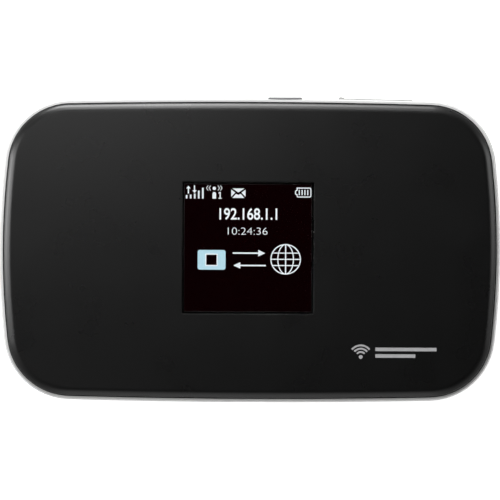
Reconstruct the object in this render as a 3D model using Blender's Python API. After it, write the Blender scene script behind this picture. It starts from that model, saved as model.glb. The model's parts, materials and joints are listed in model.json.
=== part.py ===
"""Mobile hotspot, built as an assembly of separate solids.

The hotspot lies on its battery cover with the screen up. +Z points up through the screen, +X runs to the
right along the long side and +Y points to the edge with the power key. The origin is the middle of the flat
outer face of the battery cover. Lengths are in metres: mm() turns millimetres into metres.
"""

import math

import bmesh
import bpy
from mathutils import Matrix, Vector


def mm(*values):
    """Millimetres as metres: one number, or a tuple of them. Tuples are turned number by number."""
    metres = tuple(mm(*value) if isinstance(value, tuple) else value * 0.001 for value in values)
    return metres[0] if len(metres) == 1 else metres


# Outline of the black face: four bowed sides joined by corner arcs.
FACE_HALF_WIDTH = mm(52.5)
FACE_HALF_HEIGHT = mm(31.55)
SIDE_BOW_RADIUS = mm(171.5)
LONG_BOW_RADIUS = mm(1590)
CORNER_RADIUS = mm(13.35)
OUTLINE_STEPS = (12, 8)
COVER_STEPS = (8, 4)

# Heights of the stack, from the battery cover's outer face at zero up to the front face.
COVER_FLOOR = mm(1.2)
DECK_LOW = mm(1.6)
DECK_HIGH = mm(2.6)
COVER_RIM = mm(4.3)
LEDGE = mm(4.6)
BAY_CEILING = mm(7.4)
BAY_TOP = mm(8.0)
BOARD_LOW = mm(8.3)
BOARD_HIGH = mm(9.1)
RABBET = mm(11.3)
SKIRT_LOW = mm(11.55)
CASE_RIM = mm(12.1)
PLATE_INSIDE = mm(13.2)
FRONT = mm(14.5)

# How far the walls stand in (minus) or out from the face's outline.
CASE_FLARE = mm(0.85)
FRONT_INSET = mm(0.25)
EDGE_ROUND = mm(1.9)
EDGE_DROP = mm(0.5)
EDGE_FIRST_ANGLE = 36
FRONT_WALL = mm(1.3)
RABBET_GROW = mm(0.05)
CASE_INSIDE = mm(-0.6)
SPIGOT_OUTSIDE = mm(-0.8)
SPIGOT_INSIDE = mm(-1.8)
DECK_EDGE = mm(-4.9)

# Display window, in the face, a little left of its middle and above it.
WINDOW = mm(28.0)
WINDOW_X, WINDOW_Y = mm(-0.4, 0.55)
WINDOW_GAP = mm(0.15)
WINDOW_THICKNESS = mm(0.7)
DISPLAY_ACTIVE = mm(26.9)
PANEL_WIDTH = mm(33.8)
PANEL_Z = mm(11.25, 12.75)

# Battery bay and SIM well, as (low, high) ranges.
BATTERY_X = mm(-41.0, 27.0)
BATTERY_Y = mm(-22.5, 22.5)
BATTERY_Z = mm(1.5, 7.1)
BAY_GAP = mm(0.3)
BAY_WALL = mm(1.0)
WELL_X = mm(29.3, 45.8)
WELL_Y = mm(-15.0, 17.0)
SIM_X = mm(37.55)
SIM_Y = mm(7.3)
SIM_SIZE = mm(12.0, 15.0, 0.76)
SIM_LOW = mm(7.14)

# Screws: four at the corners, one in the middle of each long side.
SCREW_PLACES = [mm(x, y) for x in (-46.0, 46.0) for y in (-21.5, 21.5)] + [mm(-16.0, 27.0), mm(16.0, -27.0)]
BOSS_RADIUS = mm(2.3)
THREAD_RADIUS = mm(0.95)
THREAD_TOP = mm(12.6)
SCREW_SEAT = mm(5.3)

# Power key and card door, in the wall of the case at +Y.
KEY_X, KEY_Z = mm(7.4, 9.5)
KEY_SIZE = mm(7.2, 2.2)
KEY_PROUD = mm(0.2)
KEY_FLANGE_Y = mm(30.1, 30.7)
KEY_SCOOP_SIZE = mm(21.0, 3.0, 8.8)
KEY_SCOOP_DEPTH = mm(0.5)
SWITCH_Z = mm(9.85)
DOOR_X = mm(18.8, 34.5)
DOOR_Z = mm(7.9, 10.9)
DOOR_THICKNESS = mm(0.8)
DOOR_PROUD = mm(0.1)
CARD_X, CARD_Z = mm(26.0, 9.85)

# Micro-USB receptacle, in the wall at -Y.
USB_SIZE = mm(7.5, 5.0, 2.5)
USB_FRONT_Y = mm(-31.8)
USB_Z = mm(9.55)

# Tabs of the battery cover: (x, y, runs along Y).
TAB_PLACES = [mm(x, y) + (False,) for x in (-30.0, 0.0, 24.0) for y in (-25.2, 25.2)]
TAB_PLACES += [mm(-45.2, y) + (True,) for y in (-13.0, 13.0)]
TAB_SIZE = mm(3.0, 0.8)
TAB_TOP = mm(3.4)

# Battery contacts, in recesses in the battery's +X end.
CONTACT_Y = [mm(y) for y in (-21.1, -19.6, -18.1)]
CONTACT_DEPTH = mm(0.4)
CONTACT_PLATE = mm(0.15)

RESET_X, RESET_Y = mm(10.0, -25.2)

# Clearance between neighbours, the gap under soldered parts, sheet thickness of cans and sockets, and how far
# cutters reach past the surfaces they cut.
GAP = mm(0.15)
SOLDER_GAP = mm(0.05)
SHEET = mm(0.2)
OVER = mm(1)

# Materials: colour, roughness, metallic.
MATERIALS = {
    "front_black": ((0.012, 0.012, 0.013), 0.30, 0.0),
    "case_white": ((0.82, 0.82, 0.81), 0.32, 0.0),
    "key_grey": ((0.36, 0.37, 0.38), 0.35, 0.2),
    "door_grey": ((0.62, 0.62, 0.62), 0.50, 0.0),
    "window_clear": ((0.03, 0.03, 0.035), 0.05, 0.0),
    "panel_black": ((0.005, 0.004, 0.005), 0.10, 0.0),
    "foam_black": ((0.02, 0.02, 0.02), 0.95, 0.0),
    "board_green": ((0.02, 0.12, 0.06), 0.45, 0.0),
    "shield_metal": ((0.62, 0.62, 0.60), 0.35, 1.0),
    "chip_black": ((0.03, 0.03, 0.03), 0.55, 0.0),
    "plastic_black": ((0.02, 0.02, 0.02), 0.45, 0.0),
    "contact_gold": ((0.85, 0.62, 0.25), 0.25, 1.0),
    "antenna_copper": ((0.78, 0.45, 0.28), 0.35, 1.0),
    "screw_steel": ((0.40, 0.40, 0.41), 0.35, 1.0),
    "flex_amber": ((0.45, 0.20, 0.03), 0.40, 0.0),
    "battery_wrap": ((0.10, 0.10, 0.11), 0.45, 0.0),
    "label_white": ((0.78, 0.78, 0.76), 0.60, 0.0),
    "sim_white": ((0.80, 0.80, 0.78), 0.45, 0.0),
}


# --- Scene and material helpers ---------------------------------------------------------------------------


def clear_scene():
    for old in list(bpy.data.objects):
        bpy.data.objects.remove(old)


def material(name):
    """The named material, made the first time it is asked for."""
    found = bpy.data.materials.get(name)
    if found:
        return found
    colour, roughness, metallic = MATERIALS[name]
    made = bpy.data.materials.new(name)
    made.use_nodes = True
    shader = made.node_tree.nodes["Principled BSDF"]
    shader.inputs["Base Color"].default_value = (*colour, 1.0)
    shader.inputs["Roughness"].default_value = roughness
    shader.inputs["Metallic"].default_value = metallic
    return made


def finish_object(name, mesh_data, material_name, place=(0, 0, 0), smooth_angle=35):
    """Turns a bmesh into an object. Its curved faces are shaded smooth, its level and upright ones flat.

    With no material it is a cutter, or a shape to join to another, and isn't rendered.
    """
    bmesh.ops.recalc_face_normals(mesh_data, faces=mesh_data.faces)
    mesh = bpy.data.meshes.new(name)
    mesh_data.to_mesh(mesh)
    mesh_data.free()
    made = bpy.data.objects.new(name, mesh)
    made.location = place
    if material_name:
        mesh.materials.append(material(material_name))
        mesh.shade_smooth()
        mesh.set_sharp_from_angle(angle=math.radians(smooth_angle))
        for face in mesh.polygons:
            face.use_smooth = max(abs(component) for component in face.normal) < 0.9999
    else:
        made.hide_render = True
        made.display_type = "WIRE"
    bpy.context.scene.collection.objects.link(made)
    return made


def boolean(target, operation, tools):
    """Adds one Boolean modifier that takes all the tools at once, and hides them from the render."""
    group = bpy.data.collections.new(f"{target.name}_{operation.lower()}")
    bpy.context.scene.collection.children.link(group)
    for tool in tools:
        tool.hide_render = True
        tool.display_type = "WIRE"
        for owner in list(tool.users_collection):
            owner.objects.unlink(tool)
        group.objects.link(tool)
    modifier = target.modifiers.new(operation.title(), "BOOLEAN")
    modifier.operation = operation
    modifier.solver = "EXACT"
    modifier.operand_type = "COLLECTION"
    modifier.collection = group
    return target


def cut(target, *tools):
    return boolean(target, "DIFFERENCE", tools)


def join(target, *tools):
    return boolean(target, "UNION", tools)


def group_under_empty(name, place, members):
    """Parents the members to an empty at place, and leaves them where they are."""
    empty = bpy.data.objects.new(name, None)
    empty.location = place
    empty.empty_display_size = mm(3)
    bpy.context.scene.collection.objects.link(empty)
    for member in members:
        member.parent = empty
        member.matrix_parent_inverse = Matrix.Translation(-Vector(place))
    return empty


# --- Shape helpers ----------------------------------------------------------------------------------------


def box(name, material_name, x, y, z, bevel=0.0, edges="all", segments=2):
    """A box between the (low, high) ranges x, y and z. edges names the bevelled edges' direction, or all."""
    shape = bmesh.new()
    bmesh.ops.create_cube(shape, size=1.0)
    size = Vector((x[1] - x[0], y[1] - y[0], z[1] - z[0]))
    centre = Vector((x[0] + x[1], y[0] + y[1], z[0] + z[1])) / 2
    bmesh.ops.scale(shape, vec=size, verts=shape.verts)
    if bevel:
        chosen = [edge for edge in shape.edges if edges == "all" or runs_along(edge, edges)]
        bmesh.ops.bevel(shape, geom=chosen, offset=bevel, segments=segments, profile=0.5, affect="EDGES")
    return finish_object(name, shape, material_name, centre)


def runs_along(edge, axis):
    along = (edge.verts[1].co - edge.verts[0].co).normalized()
    return abs(along["XYZ".index(axis)]) > 0.999


def around(centre, size):
    """The (low, high) range of a size centred on a place."""
    return centre - size / 2, centre + size / 2


def widened(limits, by):
    return limits[0] - by, limits[1] + by


def cylinder(name, material_name, x, y, z, radius, segments=24):
    """An upright cylinder over the (low, high) range z."""
    shape = bmesh.new()
    bmesh.ops.create_cone(
        shape, cap_ends=True, segments=segments, radius1=radius, radius2=radius, depth=z[1] - z[0]
    )
    return finish_object(name, shape, material_name, (x, y, (z[0] + z[1]) / 2))


def turned(name, material_name, place, profile, segments=20):
    """A solid of revolution about Z. profile lists (radius, height), from the bottom to the top centre."""
    shape = bmesh.new()
    points = [shape.verts.new((radius, 0, height)) for radius, height in profile]
    lines = [shape.edges.new(pair) for pair in zip(points, points[1:])]
    bmesh.ops.spin(shape, geom=points + lines, axis=(0, 0, 1), cent=(0, 0, 0), steps=segments, angle=math.tau)
    bmesh.ops.remove_doubles(shape, verts=shape.verts, dist=mm(0.001))
    return finish_object(name, shape, material_name, place)


def ellipsoid(name, centre, size, segments=48):
    """A cutter with the shape of a stretched ball."""
    shape = bmesh.new()
    bmesh.ops.create_uvsphere(shape, u_segments=segments, v_segments=segments // 2, radius=0.5)
    bmesh.ops.scale(shape, vec=Vector(size), verts=shape.verts)
    return finish_object(name, shape, None, centre)


def prism(name, material_name, outline, limits, axis="Z", bevel=0.0, place=(0, 0, 0)):
    """A polygon swept along an axis between two limits. The polygon's two numbers fill the other two axes."""
    order = {"Z": (0, 1, 2), "Y": (0, 2, 1), "X": (2, 0, 1)}[axis]
    shape = bmesh.new()
    corners = []
    for first, second in outline:
        values = (first, second, limits[0])
        corners.append(shape.verts.new([values[i] for i in order]))
    face = shape.faces.new(corners)
    swept = bmesh.ops.extrude_face_region(shape, geom=[face])
    step = Vector((0, 0, 0))
    step["XYZ".index(axis)] = limits[1] - limits[0]
    moved = [item for item in swept["geom"] if isinstance(item, bmesh.types.BMVert)]
    bmesh.ops.translate(shape, verts=moved, vec=step)
    if bevel:
        bmesh.ops.bevel(shape, geom=list(shape.edges), offset=bevel, segments=1, affect="EDGES")
    bmesh.ops.translate(shape, verts=shape.verts, vec=-Vector(place))
    return finish_object(name, shape, material_name, place)


def rounded_rectangle(centre, size, radius, steps=4):
    """The corners of a rounded rectangle, as a list of (first, second) points."""
    points = []
    for index, (side, top) in enumerate(((1, 1), (-1, 1), (-1, -1), (1, -1))):
        middle = (centre[0] + side * (size[0] / 2 - radius), centre[1] + top * (size[1] / 2 - radius))
        for step in range(steps + 1):
            angle = math.pi / 2 * (index + step / steps)
            points.append((middle[0] + radius * math.cos(angle), middle[1] + radius * math.sin(angle)))
    return points


def corner_centre():
    """Centre of the corner arc at +X +Y, which touches the side arc and the long arc from inside."""
    side = Vector((FACE_HALF_WIDTH - SIDE_BOW_RADIUS, 0))
    long = Vector((0, FACE_HALF_HEIGHT - LONG_BOW_RADIUS))
    from_side = SIDE_BOW_RADIUS - CORNER_RADIUS
    from_long = LONG_BOW_RADIUS - CORNER_RADIUS
    line = long - side
    along = (from_side**2 - from_long**2 + line.length_squared) / (2 * line.length)
    across = math.sqrt(from_side**2 - along**2)
    direction = line.normalized()
    return side + along * direction + across * Vector((-direction.y, direction.x))


def case_outline(grow, steps):
    """The face's outline, grown outwards by grow, counterclockwise from above. steps: per corner, per bow."""
    corner_steps, bow_steps = steps
    corner = corner_centre()
    side_x = FACE_HALF_WIDTH - SIDE_BOW_RADIUS
    long_y = FACE_HALF_HEIGHT - LONG_BOW_RADIUS
    low = math.atan2(corner.y, corner.x - side_x)
    high = math.atan2(corner.y - long_y, corner.x)
    points = []
    for sign, turn in ((1, 0.0), (-1, math.pi)):
        arcs = (
            ((sign * side_x, 0), SIDE_BOW_RADIUS, -low, low, bow_steps),
            ((sign * corner.x, sign * corner.y), CORNER_RADIUS, low, high, corner_steps),
            ((0, sign * long_y), LONG_BOW_RADIUS, high, math.pi - high, bow_steps),
            ((-sign * corner.x, sign * corner.y), CORNER_RADIUS, math.pi - high, math.pi - low, corner_steps),
        )
        for centre, radius, start, end, count in arcs:
            reach = radius + grow
            for step in range(count):
                angle = turn + start + (end - start) * step / count
                points.append((centre[0] + reach * math.cos(angle), centre[1] + reach * math.sin(angle)))
    return points


def long_edge_y(x, grow=0.0):
    """Y of the +Y side's arc at x, grown outwards by grow."""
    radius = LONG_BOW_RADIUS + grow
    return FACE_HALF_HEIGHT - LONG_BOW_RADIUS + math.sqrt(radius**2 - x**2)


def side_edge_x(y, grow=0.0):
    """X of the +X side's arc at y, grown outwards by grow."""
    radius = SIDE_BOW_RADIUS + grow
    return FACE_HALF_WIDTH - SIDE_BOW_RADIUS + math.sqrt(radius**2 - y**2)


def loft(name, material_name, profile, steps=OUTLINE_STEPS):
    """A closed body with the case's outline: profile is a list of (grow, height), from the bottom up."""
    shape = bmesh.new()
    rings = []
    for grow, height in profile:
        rings.append([shape.verts.new((x, y, height)) for x, y in case_outline(grow, steps)])
    count = len(rings[0])
    for lower, upper in zip(rings, rings[1:]):
        for i in range(count):
            j = (i + 1) % count
            shape.faces.new((lower[i], lower[j], upper[j], upper[i]))
    shape.faces.new(reversed(rings[0]))
    shape.faces.new(rings[-1])
    return finish_object(name, shape, material_name)


def rounded(start, level, steps=5, first=0):
    """An elliptical arc of a profile, level at its end, that starts first degrees up the ellipse."""
    begin = math.radians(first)
    across = (start[0] - level[0]) / math.cos(begin)
    up = (level[1] - start[1]) / (1 - math.sin(begin))
    points = []
    for step in range(steps + 1):
        angle = begin + (math.pi / 2 - begin) * step / steps
        points.append((level[0] + across * math.cos(angle), level[1] - up * (1 - math.sin(angle))))
    return points


def in_reverse(points):
    return list(reversed(points))


# --- Front cover and display ------------------------------------------------------------------------------


def make_front_cover():
    """Black front shell: plate with a rounded edge, skirt, stepped window opening and six screw bosses."""
    outside = [(-FRONT_INSET, SKIRT_LOW)]
    edge_start = (-FRONT_INSET, FRONT - EDGE_DROP)
    outside += rounded(edge_start, (-EDGE_ROUND, FRONT), steps=6, first=EDGE_FIRST_ANGLE)
    cover = loft("front_cover", "front_black", outside)
    fillet_across, fillet_up = mm(1.5, 0.9)
    inside = [(-FRONT_WALL, SKIRT_LOW - OVER)]
    fillet_start = (-FRONT_WALL, PLATE_INSIDE - fillet_up)
    inside += rounded(fillet_start, (-FRONT_WALL - fillet_across, PLATE_INSIDE), steps=3)
    boss_low = BOARD_HIGH + mm(0.3)
    boss_z, thread_z = (boss_low, PLATE_INSIDE + mm(0.5)), (boss_low - OVER, THREAD_TOP)
    bosses, thread_holes = [], []
    for i, (x, y) in enumerate(SCREW_PLACES):
        bosses.append(cylinder(f"front_boss_{i}", None, x, y, boss_z, BOSS_RADIUS))
        thread_holes.append(cylinder(f"front_thread_{i}", None, x, y, thread_z, THREAD_RADIUS, segments=16))
    opening, opening_radius = WINDOW + 2 * WINDOW_GAP, mm(0.4)
    aperture, aperture_radius = mm(27.0, 0.3)
    ledge = FRONT - mm(0.95)
    window_seat = box(
        "window_seat", None, around(WINDOW_X, opening), around(WINDOW_Y, opening),
        (ledge, FRONT + OVER), opening_radius, "Z",
    )
    window_aperture = box(
        "window_aperture", None, around(WINDOW_X, aperture), around(WINDOW_Y, aperture),
        (PLATE_INSIDE - OVER, FRONT), aperture_radius, "Z",
    )
    cut(cover, loft("front_cavity", None, inside))
    join(cover, *bosses)
    cut(cover, window_seat, window_aperture, *thread_holes)
    return cover


def make_display_window():
    """Clear lens that lies in the front cover's stepped opening, on a ring of adhesive."""
    lens_low = FRONT - WINDOW_THICKNESS
    lens = box(
        "display_window", "window_clear", around(WINDOW_X, WINDOW), around(WINDOW_Y, WINDOW),
        (lens_low, FRONT), mm(0.3), "Z",
    )
    tape_outer, tape_inner = WINDOW - mm(0.2), mm(27.2)
    tape_z = (lens_low - mm(0.2), lens_low - mm(0.05))
    return [lens, make_ring("window_adhesive", "foam_black", tape_outer, tape_inner, tape_z)]


def make_ring(name, material_name, outer, inner, z):
    """A flat square ring round the middle of the display window."""
    ring = box(name, material_name, around(WINDOW_X, outer), around(WINDOW_Y, outer), z)
    hole = box(f"{name}_hole", None, around(WINDOW_X, inner), around(WINDOW_Y, inner), widened(z, OVER))
    return cut(ring, hole)


def make_display():
    """Display panel in its bracket, a foam ring above it, and the flex tail that joins it to the board."""
    border_low, border_high = mm(7.3, 2.3)
    panel_x = around(WINDOW_X, PANEL_WIDTH)
    panel_y = (WINDOW_Y - DISPLAY_ACTIVE / 2 - border_low, WINDOW_Y + DISPLAY_ACTIVE / 2 + border_high)
    panel_low, panel_high = PANEL_Z
    panel = box("display_panel", "panel_black", panel_x, panel_y, PANEL_Z, mm(0.15))
    gasket_outer, gasket_inner = mm(30.6, 27.6)
    gasket_z = (panel_high + mm(0.1), PLATE_INSIDE - mm(0.1))
    gasket = make_ring("display_gasket", "foam_black", gasket_outer, gasket_inner, gasket_z)

    wall, gap, shelf, bracket_radius = mm(1.0, 0.3, 1.2, 0.6)
    bracket_z = (BOARD_HIGH + GAP, panel_high + mm(0.05))
    bracket = box(
        "display_bracket", "plastic_black", widened(panel_x, wall + gap), widened(panel_y, wall + gap),
        bracket_z, bracket_radius, "Z",
    )
    flex_x = mm(-13.0, -5.0)
    pocket_low = panel_low - GAP
    pocket = box(
        "bracket_pocket", None, widened(panel_x, gap), widened(panel_y, gap), (pocket_low, panel_high + OVER)
    )
    core = box(
        "bracket_core", None, widened(panel_x, -shelf), widened(panel_y, -shelf),
        (bracket_z[0] - OVER, pocket_low + OVER),
    )
    slot = box(
        "bracket_flex_slot", None, widened(flex_x, mm(0.5)), (panel_y[0] - mm(3), panel_y[0] + mm(0.5)),
        (pocket_low - mm(0.1), panel_high + OVER),
    )
    cut(bracket, pocket, core, slot)

    upper, lower, bend, leg = mm(12.2, 9.7, 0.625, 1.0)
    start_y = panel_y[0] - GAP
    middle_y = start_y - leg - bend
    path = [(start_y, upper)]
    steps = 6
    bends = ((middle_y + bend, upper - bend, 90, 1), (middle_y - bend, lower + bend, 0, -1))
    for centre_y, centre_z, start, turn in bends:
        for step in range(steps + 1):
            angle = math.radians(start + turn * 90 * step / steps)
            path.append((centre_y + bend * math.cos(angle), centre_z + bend * math.sin(angle)))
    path.append((path[-1][0] - leg, lower))
    flex = make_strip("display_flex", "flex_amber", path, SHEET, flex_x, "X")
    socket_length, socket_overhang, socket_height, socket_bevel = mm(2.6, 0.8, 1.05, 0.1)
    socket_high_y, socket_low = path[-1][0] - GAP, BOARD_HIGH + SOLDER_GAP
    socket_x, socket_y = widened(flex_x, socket_overhang), (socket_high_y - socket_length, socket_high_y)
    socket_z = (socket_low, socket_low + socket_height)
    socket = box("display_socket", "plastic_black", socket_x, socket_y, socket_z, socket_bevel)
    return [panel, gasket, bracket, flex, socket]


def make_strip(name, material_name, path, thickness, limits, axis):
    """A thin strip bent along a path of points, swept along the axis between two limits."""
    left, right = [], []
    for i, point in enumerate(path):
        along = (Vector(path[min(i + 1, len(path) - 1)]) - Vector(path[max(i - 1, 0)])).normalized()
        across = Vector((-along.y, along.x)) * thickness / 2
        left.append(tuple(Vector(point) + across))
        right.append(tuple(Vector(point) - across))
    return prism(name, material_name, left + in_reverse(right), limits, axis=axis)


# --- Housing ----------------------------------------------------------------------------------------------


def make_housing():
    """White middle shell: outer wall, spigot and deck, battery bay, SIM well, screw bosses and openings."""
    outside = in_reverse(rounded((SPIGOT_OUTSIDE, LEDGE), (DECK_EDGE, DECK_LOW)))
    bellied_wall = mm(
        (-0.30, 4.6), (-0.13, 4.8), (-0.05, 6.0), (0.0, 8.5), (-0.05, 10.8), (-0.18, 11.7), (-0.40, 12.1)
    )
    outside += [(CASE_FLARE + grow, height) for grow, height in bellied_wall]
    housing = loft("housing", "case_white", outside)
    cut(housing, housing_cavity())
    return cut(housing, *bay_cutters(), *tab_slots(), *wall_openings())


def housing_cavity():
    """The space inside the housing, less the walls and bosses that stand up in it."""
    fillet_high, slope_low, slope_high = mm(4.8, 5.3, 6.2)
    inside = in_reverse(rounded((SPIGOT_INSIDE, fillet_high), (DECK_EDGE - mm(1.0), DECK_HIGH), steps=4))
    inside += [(SPIGOT_INSIDE, slope_low), (CASE_INSIDE, slope_high), (CASE_INSIDE, RABBET)]
    inside += [(RABBET_GROW, RABBET), (RABBET_GROW, CASE_RIM + OVER)]
    cavity = loft("housing_cavity", None, inside)
    bay_x = widened(BATTERY_X, BAY_GAP + BAY_WALL)
    bay_y = widened(BATTERY_Y, BAY_GAP + BAY_WALL)
    well_x, well_y = widened(WELL_X, BAY_WALL), widened(WELL_Y, BAY_WALL)
    walls = [
        (bay_x[0], bay_y[0]), (bay_x[1], bay_y[0]), (bay_x[1], well_y[0]), (well_x[1], well_y[0]),
        (well_x[1], well_y[1]), (bay_x[1], well_y[1]), (bay_x[1], bay_y[1]), (bay_x[0], bay_y[1]),
    ]
    below_deck, scoop_top, tube_top = mm(0.5, 6.5, 6.6)
    scoop_depth, scoop_half_length, tube_radius = mm(3.2, 7.0, 1.3)
    scoop_x = (bay_x[0] - scoop_depth, bay_x[0] + BAY_WALL / 2)
    kept = [
        prism("bay_walls", None, walls, (0, BAY_TOP)),
        box("scoop_block", None, scoop_x, (-scoop_half_length, scoop_half_length), (below_deck, scoop_top)),
        cylinder("reset_tube", None, RESET_X, RESET_Y, (below_deck, tube_top), tube_radius, segments=16),
    ]
    boss_z = (below_deck, BOARD_LOW - mm(0.2))
    for i, (x, y) in enumerate(SCREW_PLACES):
        kept.append(cylinder(f"housing_boss_{i}", None, x, y, boss_z, BOSS_RADIUS))
    return cut(cavity, *kept)


def bay_cutters():
    """What is cut into the deck: battery bay, SIM well, finger scoop, contact slot, bores, reset hole."""
    bay_x, bay_y = widened(BATTERY_X, BAY_GAP), widened(BATTERY_Y, BAY_GAP)
    battery_bay = box("battery_bay", None, bay_x, bay_y, (0, BAY_CEILING), mm(0.6), "Z")
    sim_well = box("sim_well", None, WELL_X, WELL_Y, (0, BAY_CEILING), mm(1.2), "Z")
    window_width, frame = mm(14.4, 0.6)
    sim_window = box(
        "sim_window", None, around(SIM_X, window_width), widened(WELL_Y, -frame),
        (BAY_CEILING - OVER / 2, BAY_TOP + OVER),
    )
    scoop_centre, scoop_size, scoop_radius = (bay_x[0] - mm(0.8), DECK_LOW), mm(5.0, 5.6), mm(2.4)
    scoop = prism(
        "finger_scoop", None, rounded_rectangle(scoop_centre, scoop_size, scoop_radius), mm(-5, 5), axis="Y"
    )
    slot_x = (bay_x[1] - OVER / 2, bay_x[1] + BAY_WALL + OVER / 2)
    slot_y, slot_z = mm(-22.2, -17.0), mm(3.2, 7.0)
    contact_slot = box("contact_slot", None, slot_x, slot_y, slot_z)
    reset_hole = cylinder("reset_hole", None, RESET_X, RESET_Y, (0, BAY_TOP), mm(0.6), segments=12)
    cutters = [battery_bay, sim_well, sim_window, scoop, contact_slot, reset_hole]
    head, hole, top = mm(1.75, 1.05, 9.0)
    bore = [(0, 0), (head, 0), (head, SCREW_SEAT), (hole, SCREW_SEAT), (hole, top), (0, top)]
    for i, (x, y) in enumerate(SCREW_PLACES):
        cutters.append(turned(f"screw_bore_{i}", None, (x, y, 0), bore))
    return cutters


def tab_slots():
    """Slots in the deck that take the battery cover's tabs."""
    clearance = mm(0.3)
    slots = []
    for i, (x, y, along_y) in enumerate(TAB_PLACES):
        length, width = (size + 2 * clearance for size in TAB_SIZE)
        size = (width, length) if along_y else (length, width)
        slots.append(box(f"tab_slot_{i}", None, around(x, size[0]), around(y, size[1]), (0, TAB_TOP)))
    return slots


def wall_openings():
    """Openings in the outer wall: key in its scoop, card door with slot and tether hole, and USB port."""
    y_range = mm(28, 34)
    key_size = [side + 2 * GAP for side in KEY_SIZE]
    key_hole = rounded_rectangle((KEY_X, KEY_Z), key_size, pill_radius(key_size))
    scoop_y = long_edge_y(KEY_X, CASE_FLARE - KEY_SCOOP_DEPTH) + KEY_SCOOP_SIZE[1] / 2
    scoop_rise = mm(0.5)
    recess_x, recess_z = widened(DOOR_X, GAP), widened(DOOR_Z, GAP)
    recess_floor = DOOR_PROUD + CASE_FLARE - DOOR_THICKNESS - GAP
    floor = [(x, long_edge_y(x, recess_floor)) for x in recess_x]
    recess = floor + [(recess_x[1], y_range[1]), (recess_x[0], y_range[1])]
    slot_width, slot_radius, slot_z = *mm(12.2, 0.4), around(CARD_Z, mm(1.7))
    tether_x, tether_z = mm(33.0, 34.45), around(CARD_Z, mm(1.5))
    usb_size, usb_radius = (USB_SIZE[0] + mm(0.8), USB_SIZE[2] + mm(0.6)), mm(1.0)
    return [
        ellipsoid("key_scoop", (KEY_X, scoop_y, KEY_Z + scoop_rise), KEY_SCOOP_SIZE),
        prism("key_hole", None, key_hole, y_range, axis="Y"),
        prism("door_recess", None, recess, recess_z),
        box("card_slot", None, around(CARD_X, slot_width), y_range, slot_z, slot_radius, "Y"),
        box("tether_hole", None, tether_x, y_range, tether_z),
        prism("usb_hole", None, rounded_rectangle((0, USB_Z), usb_size, usb_radius), mm(-34, -28), axis="Y"),
    ]


def pill_radius(size):
    """Corner radius that makes a rounded rectangle into a pill, a hair short of half its height."""
    return size[1] / 2 - mm(0.01)


def make_screws():
    """Six pan-head screws that clamp the housing, the board and the front cover together."""
    head_height, head_radius, shank_radius, tip = mm(0.8, 1.4, 0.75, 12.2)
    low = SCREW_SEAT - head_height - mm(0.05)
    length, head_edge, taper, point = tip - low, mm(0.3), mm(0.35), mm(0.5)
    profile = [(0, 0), (head_radius - head_edge, 0), (head_radius, head_edge), (head_radius, head_height)]
    profile += [(shank_radius, head_height), (shank_radius, length - point), (shank_radius - taper, length)]
    profile.append((0, length))
    screws = []
    arm, half, depth = mm(0.75, 0.18, 0.45)
    cross = [
        (arm, -half), (arm, half), (half, half), (half, arm), (-half, arm), (-half, half),
        (-arm, half), (-arm, -half), (-half, -half), (-half, -arm), (half, -arm), (half, -half),
    ]
    for i, (x, y) in enumerate(SCREW_PLACES, start=1):
        screw = turned(f"screw_{i}", "screw_steel", (x, y, low), profile, segments=16)
        recess = prism(f"screw_recess_{i}", None, cross, (low - OVER, low + depth))
        recess.location = (x, y, 0)
        screws.append(cut(screw, recess))
    return screws


# --- Circuit board and what it carries --------------------------------------------------------------------


def make_main_board():
    """Main board with screw holes, a notch for the sunk USB receptacle and one for the power key."""
    inset, hole_radius = mm(1.0, 1.2)
    board = loft("main_board", "board_green", [(-inset, BOARD_LOW), (-inset, BOARD_HIGH)])
    z = (BOARD_LOW - OVER, BOARD_HIGH + OVER)
    usb_width, key_width = USB_SIZE[0] + mm(0.6), KEY_SIZE[0] + mm(3)
    notches = [
        box("usb_notch", None, around(0, usb_width), mm(-34, -26.5), z),
        box("key_notch", None, around(KEY_X, key_width), mm(29, 34), z),
    ]
    holes = [
        cylinder(f"board_hole_{i}", None, x, y, z, hole_radius, segments=16)
        for i, (x, y) in enumerate(SCREW_PLACES)
    ]
    return cut(board, *notches, *holes)


def make_shield(name, x, y, height=mm(1.5)):
    """A thin metal can, open towards the board, with a row of vent holes."""
    low = BOARD_HIGH + SOLDER_GAP
    can = box(name, "shield_metal", x, y, (low, low + height), mm(0.25), segments=1)
    inside = box(
        f"{name}_inside", None, widened(x, -SHEET), widened(y, -SHEET), (low - OVER, low + height - SHEET)
    )
    count, vent_radius, vent_inset = 4, mm(0.5), mm(2.5)
    vent_z = (low, low + height + OVER)
    vents = []
    for i in range(count):
        vent_x = x[0] + (x[1] - x[0]) * (i + 0.5) / count
        vents.append(
            cylinder(f"{name}_vent_{i}", None, vent_x, y[1] - vent_inset, vent_z, vent_radius, segments=8)
        )
    return cut(can, inside, *vents)


def make_chip(name, centre, size, height):
    low = BOARD_HIGH + SOLDER_GAP
    x, y = around(centre[0], size[0]), around(centre[1], size[1])
    return box(name, "chip_black", x, y, (low, low + height))


def make_radio_parts():
    """Shield cans and the chips under them."""
    return [
        make_shield("modem_shield", mm(-15.2, 1.6), mm(-15.5, 13.0)),
        make_shield("power_shield", mm(3.0, 14.0), mm(-15.5, 13.0)),
        make_shield("wifi_shield", mm(-40.0, -22.0), mm(-9.0, 11.0)),
        make_chip("modem_chip", mm(-7.0, 3.0), mm(12, 12), mm(0.9)),
        make_chip("memory_chip", mm(-7.0, -9.5), mm(10, 8), mm(0.8)),
        make_chip("power_chip", mm(8.5, -4.0), mm(7, 7), mm(0.8)),
        make_chip("wifi_chip", mm(-31.0, 0.0), mm(8, 8), mm(0.8)),
    ]


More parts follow.
